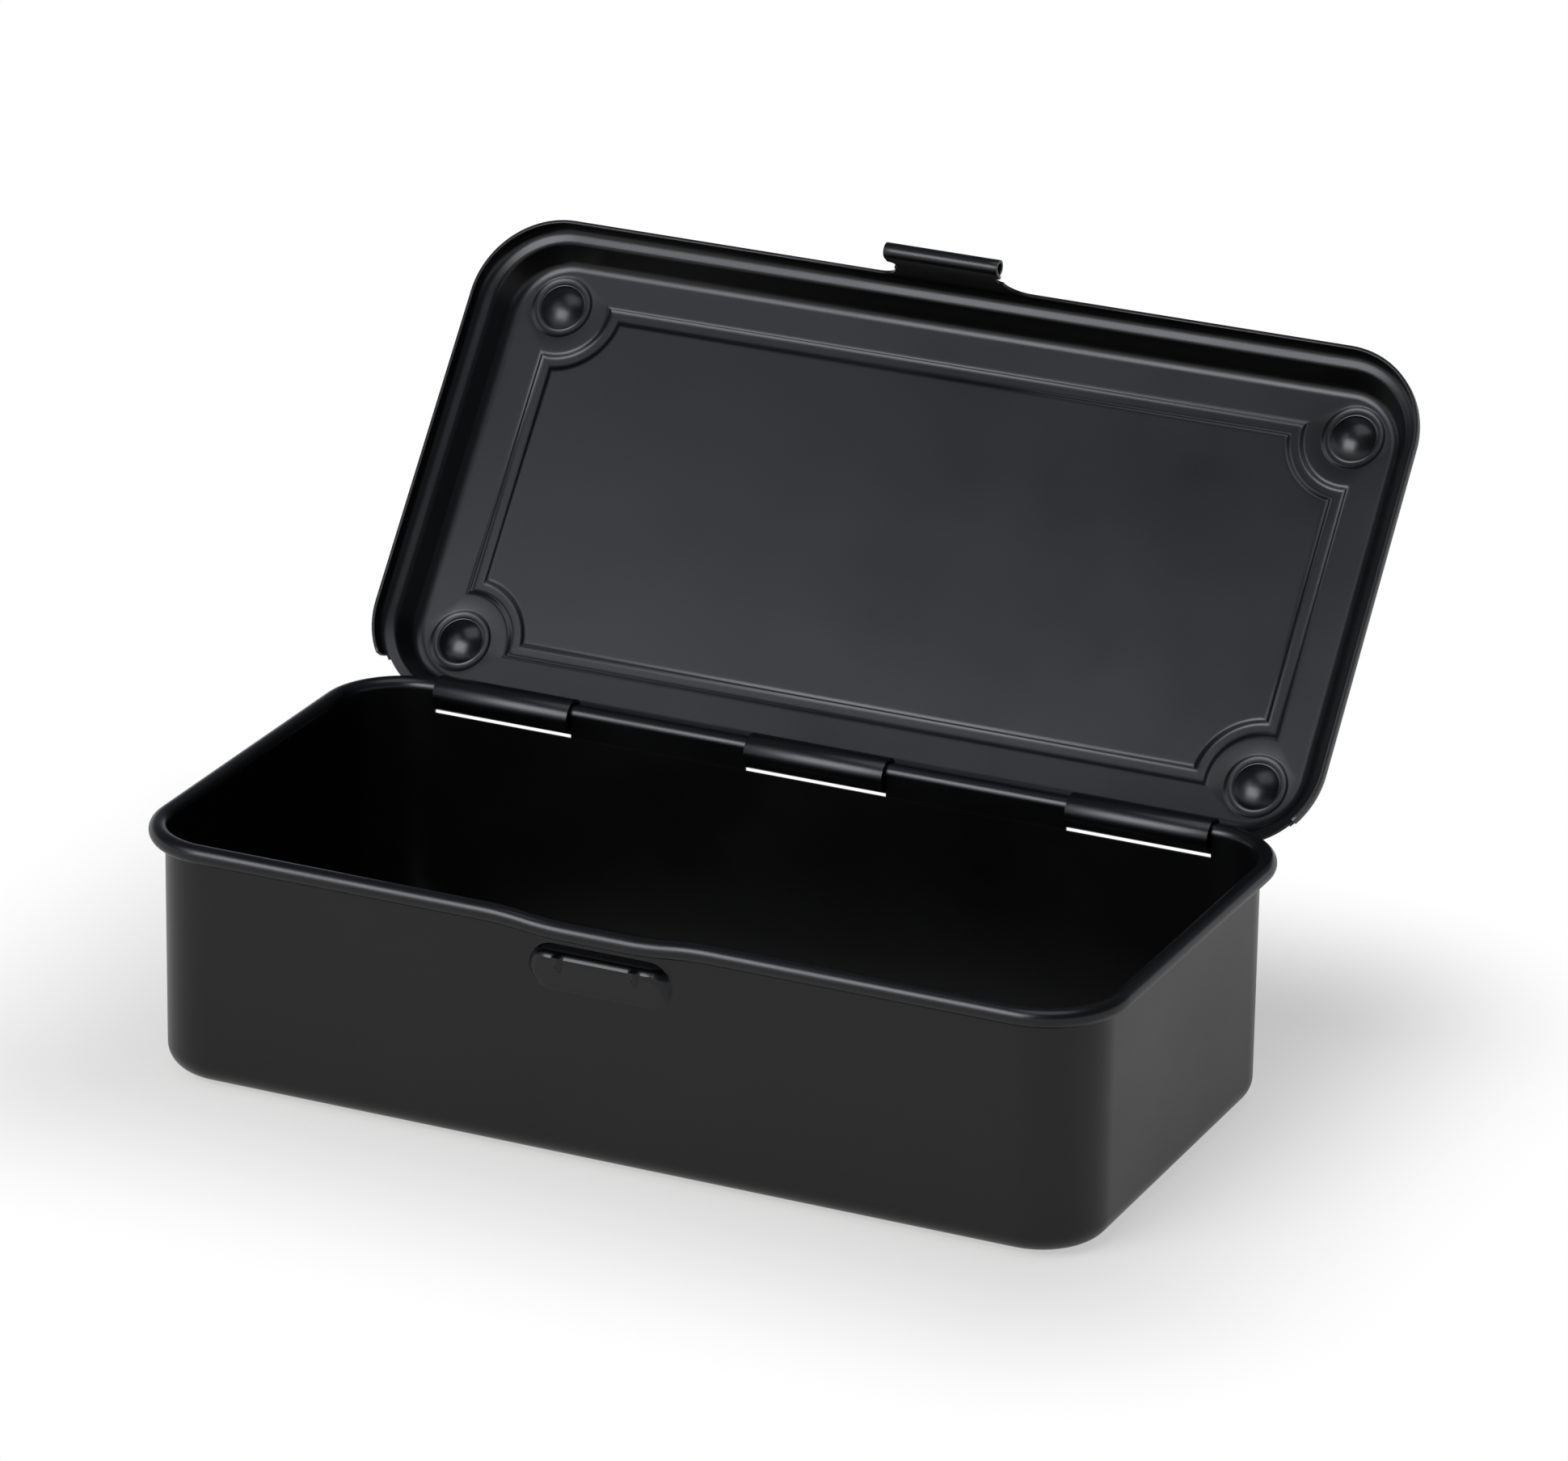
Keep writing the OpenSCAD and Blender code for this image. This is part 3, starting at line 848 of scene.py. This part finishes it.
@dataclass(frozen=True)
class Lid:
    """Pressed lid: framed panel with sockets, flange, hinge knuckles and curled hasp."""

    sizes: Sizes
    open_angle: float = 128.4
    # Skirt, flange, step and panel
    skirt_drop: float = 3.3
    seat_steps: tuple[int, int, int] = (2, 7, 4)
    flange_slope: float = 20.0
    flange_flat: float = 1.0
    flange_bend_r: float = 1.4
    flange_steps: int = 7
    step_slope: float = 62.0
    step_near: float = 0.25
    panel_bend_r: float = 2.75
    panel_steps: int = 10
    panel_near: float = 0.15
    depth: float = 9.2
    crown: float = 0.21
    crown_band: float = 5.5
    plain_columns: tuple[float, ...] = (40.0, 60.0)
    rear_corner: tuple[tuple[float, int], ...] = ((36, 9), (54, 15))
    # Raised frame, with the insets and the shares of its height that make its shoulders
    frame_in_x: float = 14.65
    frame_in_y: float = 14.05
    frame_band: float = 2.7
    frame_h: float = 0.5
    frame_flat: float = 1.05
    shoulder: tuple[tuple[float, float], ...] = (
        (-0.75, 0.0),
        (-0.45, 0.06),
        (-0.21, 0.24),
        (0.0, 0.5),
        (0.21, 0.76),
        (0.45, 0.94),
        (0.75, 1.0),
    )
    notch_r: float = 10.5
    notch_steps: int = 28
    # Hinge knuckles, and the skirt cut away beside them
    knuckle_wrap: float = 215.0
    knuckle_steps: int = 34
    knuckle_slack: float = 0.7
    knuckle_sag: float = 0.8
    loose_after: float = 30.0
    joggle: float = 0.55
    rear_edge_up: float = 0.86
    corner_cut_in: float = 5.0
    corner_cut_up: float = 1.9
    # Hasp: half widths and drops of its root, neck and curled grip
    root_half: float = 11.65
    root_r: float = 4.6
    root_steps: int = 6
    neck_half: float = 10.8
    neck_end: float = 6.7
    flare_steps: int = 3
    grip_half: float = 12.15
    grip_step: float = 0.9
    hasp_drop: float = 9.5
    grip_r: float = 1.65
    grip_wrap: float = 312.0
    grip_steps: int = 28
    # Sockets: rings of the lip as offsets from its radius, then as radii, then those of the ball
    socket_r: float = 4.7
    socket_h: float = 1.7
    lip_r: float = 6.2
    lip_h: float = 0.3
    lip_rise: tuple[tuple[float, float], ...] = (
        (0.38, 0.0),
        (0.3, 0.01),
        (0.18, 0.07),
        (0.0, 0.16),
        (-0.2, 0.25),
        (-0.4, 0.3),
    )
    lip_fall: tuple[tuple[float, float], ...] = ((5.1, 0.3), (4.9, 0.27), (4.75, 0.19))
    ball_radii: tuple[float, ...] = (4.6, 4.3, 3.9, 3.4, 2.8, 2.2, 1.6, 1.0, 0.5)

    def free_z(self) -> float:
        """Height of the free edge above the centre of the rim."""
        return self.sizes.roll_r - self.skirt_drop

    def panel_z(self) -> float:
        """Height of the panel's inside above the centre of the rim."""
        return self.free_z() + self.depth

    def climb(self) -> tuple[float, float]:
        """Work out how the step climbs from the flange to the panel.

        Returns:
            Length of the step, and distance of the panel's edge past the centre of the rim.
        """
        s = self.sizes
        slope = math.radians(self.flange_slope)
        steep = math.radians(self.step_slope)
        flange_rise = s.seat_r * math.cos(slope) + self.flange_flat * math.sin(slope)
        bend_rise = self.flange_bend_r * (math.cos(slope) - math.cos(steep))
        corner_rise = self.panel_bend_r * (1 - math.cos(steep))
        step = (self.panel_z() - flange_rise - bend_rise - corner_rise) / math.sin(steep)
        flange_run = s.seat_r * math.sin(slope) - self.flange_flat * math.cos(slope)
        bend_run = self.flange_bend_r * (math.sin(steep) - math.sin(slope))
        corner_run = self.panel_bend_r * math.sin(steep)
        return step, flange_run - bend_run - step * math.cos(steep) - corner_run

    def bow(self, place: Vector) -> Vector:
        """Crown the panel a little.

        Args:
            place: Place of a point of the sheet.

        Returns:
            Lift of the point.
        """
        s = self.sizes
        aside = max(abs(place.x) - s.corner_x, 0.0), max(abs(place.y) - s.corner_y, 0.0)
        inward = s.path_r + self.climb()[1] - math.hypot(*aside)
        return UP * self.crown * clamped(inward / self.crown_band)

    def section(self, bench: Bench) -> None:
        """Draw the section at the middle of the front, from the panel to the free edge.

        Args:
            bench: Mesh that is drawn on.
        """
        s = self.sizes
        step, edge = self.climb()
        start = FRONT * (s.rim_y + edge - self.panel_near) + UP * (s.rim_z + self.panel_z())
        bench.move(start)
        walker = Walker(bench, start, FRONT, -RIGHT)
        walker.run([self.panel_near])
        walker.bend(-self.step_slope, self.panel_bend_r, self.panel_steps)
        walker.run(supported(step, self.step_near))
        walker.bend(self.step_slope - self.flange_slope, self.flange_bend_r, self.flange_steps)
        walker.run([self.flange_flat / 2, self.flange_flat])
        cut = math.degrees(math.asin(self.corner_cut_up / s.seat_r))
        edge_up = math.degrees(math.asin(self.rear_edge_up / s.seat_r))
        turns = (90 - self.flange_slope - cut, cut - edge_up, edge_up)
        for turn, steps in zip(turns, self.seat_steps):
            walker.bend(-turn, s.seat_r, steps)
        walker.run([NEAR, -self.free_z()])

    def rear_stops(self) -> list[float]:
        """Place the columns of points in the rear.

        Returns:
            Distances of the columns from the right corner.
        """
        half = self.sizes.knuckle_len / 2
        pitch = self.sizes.knuckle_pitch
        edges = (half + self.joggle, half, -half, -half - self.joggle)
        ends = [edge + place * pitch for place in (1, 0, -1) for edge in edges]
        corner = self.sizes.corner_x
        return [*[corner - end for end in ends], 2 * corner]

    def front_stops(self) -> list[float]:
        """Place the columns of points in the front.

        Returns:
            Distances of the columns from the middle, to the corner.
        """
        root = self.root_half + self.root_r
        middle = [root * i / self.root_steps for i in range(1, self.root_steps + 1)]
        corner = self.sizes.corner_x
        return [*middle, *self.plain_columns, corner - NEAR, corner]

    def trim_rear(self, bench: Bench) -> None:
        """Cut the rear skirt away between the knuckles and round the rear corners.

        Args:
            bench: Mesh that is cut.
        """
        s = self.sizes

        def trimmed(middle: Vector) -> bool:
            """Whether a face is cut away."""
            high = middle.z - s.rim_z
            if abs(middle.x) > s.corner_x:
                return middle.y > s.rim_y - self.corner_cut_in and high < self.corner_cut_up
            near = min(abs(middle.x - place * s.knuckle_pitch) for place in (-1, 0, 1))
            level = 0.0 if near < s.knuckle_len / 2 else self.rear_edge_up
            return middle.y > s.rim_y and high < level

        bench.cut(trimmed)

    def roll_knuckles(self, bench: Bench) -> None:
        """Roll the three tongues round the rim.

        Args:
            bench: Mesh that is drawn on.
        """
        s = self.sizes
        centre = Vector((0.0, s.rim_y, s.rim_z))
        for place in (-1, 0, 1):
            middle = place * s.knuckle_pitch
            reach = s.knuckle_len / 2 + SAME
            bench.pick_open_edges(
                lambda end: abs(end.z - s.rim_z) < SAME and end.y > 0 and abs(end.x - middle) < reach
            )
            bench.spin(centre, -RIGHT, self.knuckle_wrap, self.knuckle_steps)

    def loosen(self, place: Vector) -> Vector:
        """Make the knuckles loose rolls, which hang on the rim of the open box.

        Args:
            place: Place of a point of the sheet.

        Returns:
            Move of the point.
        """
        s = self.sizes
        back, high = place.y - s.rim_y, place.z - s.rim_z
        away = math.hypot(back, high)
        aside = min(abs(place.x - at * s.knuckle_pitch) for at in (-1, 0, 1)) - s.knuckle_len / 2
        if away > s.seat_r + SAME or aside > self.joggle / 2:
            return Vector()
        turn = math.degrees(math.atan2(-high, back))
        turn += 360 if turn < -90 else 0
        start = clamped((turn + 90 - self.flange_slope) / self.loose_after)
        hang = math.cos(math.radians(turn + self.open_angle - 90))
        out = (self.knuckle_slack + self.knuckle_sag * hang) * smooth(start)
        return Vector((0.0, back, high)) * (out / away)

    def draw_hasp(self, bench: Bench) -> None:
        """Draw the hasp down from the front skirt and curl its grip.

        Args:
            bench: Mesh that is drawn on.
        """
        s = self.sizes
        edge_z = s.rim_z + self.free_z()
        root = self.root_half + self.root_r
        flare = self.grip_half - self.neck_half
        notch = self.root_half - self.neck_half
        rows = [(root - self.root_r * a, self.root_r * (1 - b)) for a, b in quarter(self.root_steps)]
        turns = quarter(self.flare_steps)
        rows += [(self.root_half - notch * a, self.root_r + notch * (1 - b)) for a, b in turns]
        rows.append((self.neck_half, self.neck_end))
        rows += [(self.grip_half - flare * b, self.neck_end + self.grip_step * a) for a, b in turns]
        rows.append((self.grip_half, self.hasp_drop))
        bench.pick_open_edges(
            lambda end: abs(end.z - edge_z) < SAME and end.y < 0 and abs(end.x) < root + SAME
        )
        width, drop = root, 0.0
        for next_width, next_drop in rows:
            bench.extrude(UP * (drop - next_drop))
            bench.resize((next_width / width, 1.0, 1.0), Vector())
            width, drop = next_width, next_drop
        centre = Vector((0.0, -s.rim_y - s.seat_r - self.grip_r, edge_z - self.hasp_drop))
        bench.spin(centre, -RIGHT, self.grip_wrap, self.grip_steps)

    def frame_half(self) -> tuple[float, float]:
        """Work out the raised frame's outline.

        Returns:
            Half its width and half its depth.
        """
        s = self.sizes
        reach = s.seat_r + s.sheet - s.roll_r
        return s.rim_w / 2 + reach - self.frame_in_x, s.rim_d / 2 + reach - self.frame_in_y

    def frame_rings(self) -> list[tuple[float, float]]:
        """Draw the frame's profile.

        Returns:
            Distance inside the frame's outline, and height, of each ring.
        """
        rise = [(inset, share * self.frame_h) for inset, share in self.shoulder]
        fall = [(self.frame_band - inset, height) for inset, height in reversed(rise)]
        top = [(self.frame_flat, self.frame_h), (self.frame_band - self.frame_flat, self.frame_h)]
        return [(-self.frame_flat, 0.0), *rise, *top, *fall, (self.frame_band + self.frame_flat, 0.0)]

    def draw_frame_ring(self, bench: Bench, inset: float, height: float) -> None:
        """Draw one ring of the raised frame, which leaves a notch round each socket.

        Args:
            bench: Mesh that is drawn on.
            inset: Distance of the ring inside the frame's outline.
            height: Height of the ring.
        """
        s = self.sizes
        half_x, half_y = (half - inset for half in self.frame_half())
        notch_r = self.notch_r + inset
        over_x = math.sqrt(notch_r ** 2 - (half_y - s.foot_y) ** 2)
        over_y = math.sqrt(notch_r ** 2 - (half_x - s.foot_x) ** 2)
        low = math.degrees(math.atan2(half_y - s.foot_y, over_x))
        side = math.degrees(math.atan2(half_x - s.foot_x, over_y))
        bench.new_point(Vector((over_x - s.foot_x, -half_y, height)))
        headings = (RIGHT, -FRONT, -RIGHT, FRONT)
        for (sx, sy), heading in zip(((1, -1), (1, 1), (-1, 1), (-1, -1)), headings):
            run = s.foot_x - over_x if heading.x else s.foot_y - over_y
            bench.extrude(heading * 2 * run)
            centre = Vector((sx * s.foot_x, sy * s.foot_y, height))
            bench.spin(centre, UP, -90 - low - side, self.notch_steps)

    def inset_of(self, place: Vector) -> float:
        """Measure how far a place lies inside the frame's outline.

        Args:
            place: Place on the panel.

        Returns:
            Distance inside, or less than nought outside.
        """
        s = self.sizes
        half_x, half_y = self.frame_half()
        aside = math.hypot(abs(place.x) - s.foot_x, abs(place.y) - s.foot_y) - self.notch_r
        return min(half_x - abs(place.x), half_y - abs(place.y), aside)

    def press_panel(self, bench: Bench) -> None:
        """Press the frame and the sockets and close the panel round them.

        Args:
            bench: Mesh that is drawn on.
        """
        s = self.sizes
        level = s.rim_z + self.panel_z()
        rings = self.frame_rings()
        for inset, height in rings:
            self.draw_frame_ring(bench, inset, level + height)
        bench.merge()

        def on_panel(end: Vector) -> bool:
            """Whether a point is on the panel and inside the lid's step."""
            return -SAME < end.z - level < self.frame_h + SAME and self.inset_of(end) > rings[0][0] - SAME

        for (inset, _), (next_inset, _) in zip(rings, rings[1:]):
            bench.pick_open_edges(
                lambda end: on_panel(end) and inset - SAME < self.inset_of(end) < next_inset + SAME
            )
            bpy.ops.mesh.bridge_edge_loops()
        bench.pick_open_edges(lambda end: on_panel(end) and self.inset_of(end) > rings[-1][0] - SAME)
        bpy.ops.mesh.edge_face_add()
        for place in corners(s.foot_x, s.foot_y):
            dimple(bench, place + UP * level, self.socket_rings())
        socket_r = self.socket_rings()[0][0]

        def in_sheet(ends: list[Vector]) -> bool:
            """Whether a triangle lies between the step, the frame and the sockets."""
            middle = sum(ends, Vector()) / len(ends)
            return self.inset_of(middle) < rings[0][0] and outside(ends, s.foot_x, s.foot_y, socket_r)

        bench.close_level(level, in_sheet)

    def socket_rings(self) -> list[tuple[float, float]]:
        """Draw a socket: a raised lip round a hollow ball.

        Returns:
            Radius and height of each ring, from outside in.
        """
        ball = (self.socket_r ** 2 + self.socket_h ** 2) / (2 * self.socket_h)
        level = self.lip_h + ball - self.socket_h
        rise = [(self.lip_r + offset, height) for offset, height in self.lip_rise]
        hollow = [(r, level - math.sqrt(ball ** 2 - r ** 2)) for r in self.ball_radii]
        return [*rise, *self.lip_fall, *hollow]

    def build(self, paint: bpy.types.Material) -> bpy.types.Object:
        """Shape the lid, closed, and turn it open.

        Args:
            paint: Material of the lid.

        Returns:
            The finished piece.
        """
        s = self.sizes
        bench = Bench("lid_shell")
        self.section(bench)
        sweep(bench, s, self.front_stops(), self.rear_stops(), self.rear_corner)
        self.trim_rear(bench)
        self.roll_knuckles(bench)
        bench.press(self.loosen)
        self.draw_hasp(bench)
        self.press_panel(bench)
        bench.press(self.bow)
        bench.face_the_metal(lambda m: abs(m.z - s.rim_z - self.panel_z() - self.crown) < SAME, UP)
        hinge = Vector((0.0, s.rim_y, s.rim_z))
        turn = Matrix.Rotation(-math.radians(self.open_angle), 4, "X")
        opened = Matrix.Translation(hinge) @ turn @ Matrix.Translation(-hinge)
        piece = bench.finish(s.sheet, s.edge_r, opened)
        piece.data.materials.append(paint)
        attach(piece, Body.LID.value)
        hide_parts("lid")
        return piece


def direction(azimuth: float, elevation: float) -> Vector:
    """Work out where a place lies, seen from the box.

    Args:
        azimuth: Degrees from the front towards the right.
        elevation: Degrees above the level.

    Returns:
        Direction from the box to the place.
    """
    az, el = math.radians(azimuth), math.radians(elevation)
    return Vector((math.sin(az) * math.cos(el), -math.cos(az) * math.cos(el), math.sin(el)))


@dataclass(frozen=True)
class Camera:
    """Camera of the picture, in millimetres and degrees, with its reach in metres."""

    azimuth: float = 24.74
    elevation: float = 21.53
    roll: float = 0.87
    distance: float = 1616.3
    aim_z: float = 49.63
    shift_right: float = 13.72
    shift_up: float = 20.28
    lens: float = 195.95
    film: float = 36.0
    reach: float = 50.0

    def build(self) -> None:
        """Place the camera and make it the scene's own."""
        back = direction(self.azimuth, self.elevation)
        right = direction(self.azimuth + 90, 0.0)
        up = back.cross(right)
        ro = math.radians(self.roll)
        axes = (right * math.cos(ro) + up * math.sin(ro), up * math.cos(ro) - right * math.sin(ro), back)
        place = UP * self.aim_z + axes[0] * self.shift_right + axes[1] * self.shift_up + back * self.distance
        data = bpy.data.cameras.new("camera")
        data.lens = self.lens
        data.sensor_width = self.film
        data.clip_end = self.reach
        camera = bpy.data.objects.new("camera", data)
        bpy.context.scene.collection.objects.link(camera)
        turn = Matrix(axes).transposed().to_4x4()
        camera.matrix_world = Matrix.Translation(place * MM) @ turn
        bpy.context.scene.camera = camera


@dataclass(frozen=True)
class Softbox:
    """Area lamp that faces the box, in metres and degrees."""

    name: str
    azimuth: float
    elevation: float
    distance: float
    width: float
    height: float
    radiance: float
    tint: tuple[float, float, float]

    def build(self) -> None:
        """Place the lamp."""
        back = direction(self.azimuth, self.elevation)
        data = bpy.data.lights.new(self.name, "AREA")
        data.shape = "RECTANGLE"
        data.size = self.width
        data.size_y = self.height
        data.energy = self.radiance * math.pi * self.width * self.height
        data.color = self.tint
        lamp = bpy.data.objects.new(self.name, data)
        bpy.context.scene.collection.objects.link(lamp)
        turn = back.to_track_quat("Z", "Y").to_matrix().to_4x4()
        lamp.matrix_world = Matrix.Translation(back * self.distance) @ turn


@dataclass(frozen=True)
class Studio:
    """Pale floor, soft lamps and the dim room round them, in metres."""

    floor_z: float = -0.0008
    floor_r: float = 6.0
    floor_points: int = 96
    paper: tuple[float, float, float] = (0.66, 0.63, 0.58)
    shade_middle: tuple[float, float, float] = (-0.008, 0.016, 0.0)
    shade_half: tuple[float, float, float] = (0.093, 0.06, 1.0)
    fade_r: float = 0.075
    near_white: float = 0.5
    mirrored: float = 0.66
    room: float = 0.13
    horizon: tuple[float, float] = (0.02, 0.3)
    tint: tuple[float, float, float] = (0.92, 0.98, 1.12)
    key_tint: tuple[float, float, float] = (0.98, 0.99, 1.04)

    def floor(self) -> None:
        """Lay the floor, which fades to plain white away from the box."""
        bpy.ops.object.select_all(action="DESELECT")
        bpy.ops.mesh.primitive_circle_add(
            vertices=self.floor_points, radius=self.floor_r, fill_type="NGON"
        )
        floor = bpy.context.object
        floor.name = "floor"
        floor.data.transform(Matrix.Translation((0, 0, self.floor_z)))
        floor.data.materials.append(self.paper_fading_to_white())

    def paper_fading_to_white(self) -> bpy.types.Material:
        """Build the floor's material.

        Returns:
            Paper near the box, which takes its shadow, and plain white round it.
        """
        material = bpy.data.materials.new("floor_paper")
        shading = Shading(material)
        shading.nodes.remove(shading.nodes["Principled BSDF"])
        away = shading.add("TexCoord", {}).outputs["Object"]
        nought = (0.0, 0.0, 0.0)
        steps = (
            ("SUBTRACT", self.shade_middle),
            ("ABSOLUTE", nought),
            ("SUBTRACT", self.shade_half),
            ("MAXIMUM", nought),
        )
        for operation, value in steps:
            step = shading.add("VectorMath", {0: away, 1: value}, operation=operation)
            away = step.outputs["Vector"]
        length = shading.add("VectorMath", {0: away}, operation="LENGTH").outputs["Value"]
        fade = shading.add(
            "MapRange",
            {"Value": length, "From Max": self.fade_r, "To Min": self.near_white},
            interpolation_type="SMOOTHSTEP",
        ).outputs["Result"]
        path = shading.add("LightPath", {}).outputs
        camera, glossy = path["Is Camera Ray"], path["Is Glossy Ray"]
        level = shading.add("MapRange", {"Value": camera, "To Min": self.mirrored}).outputs["Result"]
        seen = shading.add("Math", {0: camera, 1: glossy}, operation="MAXIMUM").outputs["Value"]
        share = shading.add("Math", {0: seen, 1: fade}, operation="MULTIPLY").outputs["Value"]
        paper = shading.add("BsdfDiffuse", {"Color": (*self.paper, 1.0)}).outputs["BSDF"]
        white = shading.add("Emission", {"Strength": level}).outputs["Emission"]
        mix = shading.add("MixShader", {"Fac": share, 1: paper, 2: white})
        shading.feed(shading.nodes["Material Output"], {"Surface": mix.outputs["Shader"]})
        return material

    def world(self) -> None:
        """Set the room: white at the horizon, dim overhead."""
        world = bpy.data.worlds.new("room")
        shading = Shading(world)
        where = shading.add("TexCoord", {}).outputs["Generated"]
        high = shading.add("SeparateXYZ", {"Vector": where}).outputs["Z"]
        ramp = shading.add(
            "MapRange",
            {
                "From Min": self.horizon[0],
                "From Max": self.horizon[1],
                "To Min": 1.0,
                "To Max": self.room,
                "Value": high,
            },
            interpolation_type="SMOOTHSTEP",
        )
        room = {"Strength": ramp.outputs["Result"], "Color": (*self.tint, 1.0)}
        shading.feed(shading.nodes["Background"], room)
        bpy.context.scene.world = world

    def lamps(self) -> None:
        """Place the lamps."""
        boxes = (
            Softbox(
                "key_softbox",
                azimuth=-18.0,
                elevation=33.5,
                distance=0.9,
                width=0.6,
                height=0.44,
                radiance=7.2,
                tint=self.key_tint,
            ),
            Softbox(
                "low_softbox",
                azimuth=-18.0,
                elevation=13.0,
                distance=1.0,
                width=0.7,
                height=0.14,
                radiance=1.2,
                tint=self.key_tint,
            ),
            Softbox(
                "left_softbox",
                azimuth=-50.0,
                elevation=40.0,
                distance=1.8,
                width=0.6,
                height=0.9,
                radiance=1.1,
                tint=self.tint,
            ),
            Softbox(
                "top_softbox",
                azimuth=40.0,
                elevation=82.0,
                distance=1.9,
                width=1.2,
                height=1.2,
                radiance=1.6,
                tint=self.tint,
            ),
        )
        for box in boxes:
            box.build()


def report(piece: bpy.types.Object) -> None:
    """Say how large a piece's mesh is and whether it is closed.

    Args:
        piece: The finished piece.
    """
    mesh = bmesh.new()
    mesh.from_mesh(piece.data)
    open_edges = sum(1 for edge in mesh.edges if len(edge.link_faces) != 2)
    volume = mesh.calc_volume(signed=True) / MM ** 3
    LOG.info("%s: %d faces, %d open edges, %.0f mm3", piece.name, len(mesh.faces), open_edges, volume)
    mesh.free()


def main() -> None:
    """Build the box, its camera and its studio, and report each piece."""
    logging.basicConfig(level=logging.INFO, format="%(message)s")
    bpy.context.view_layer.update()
    sizes = Sizes()
    tray_paint = SatinPaint("tray_satin_black", seed=0.0)
    lid_paint = SatinPaint("lid_satin_black", seed=3.7)
    for piece in (Tray(sizes).build(tray_paint.make()), Lid(sizes).build(lid_paint.make())):
        report(piece)
    Camera().build()
    studio = Studio()
    studio.floor()
    studio.world()
    studio.lamps()
    bpy.context.scene.view_settings.view_transform = "Standard"


if __name__ == "__main__":
    main()
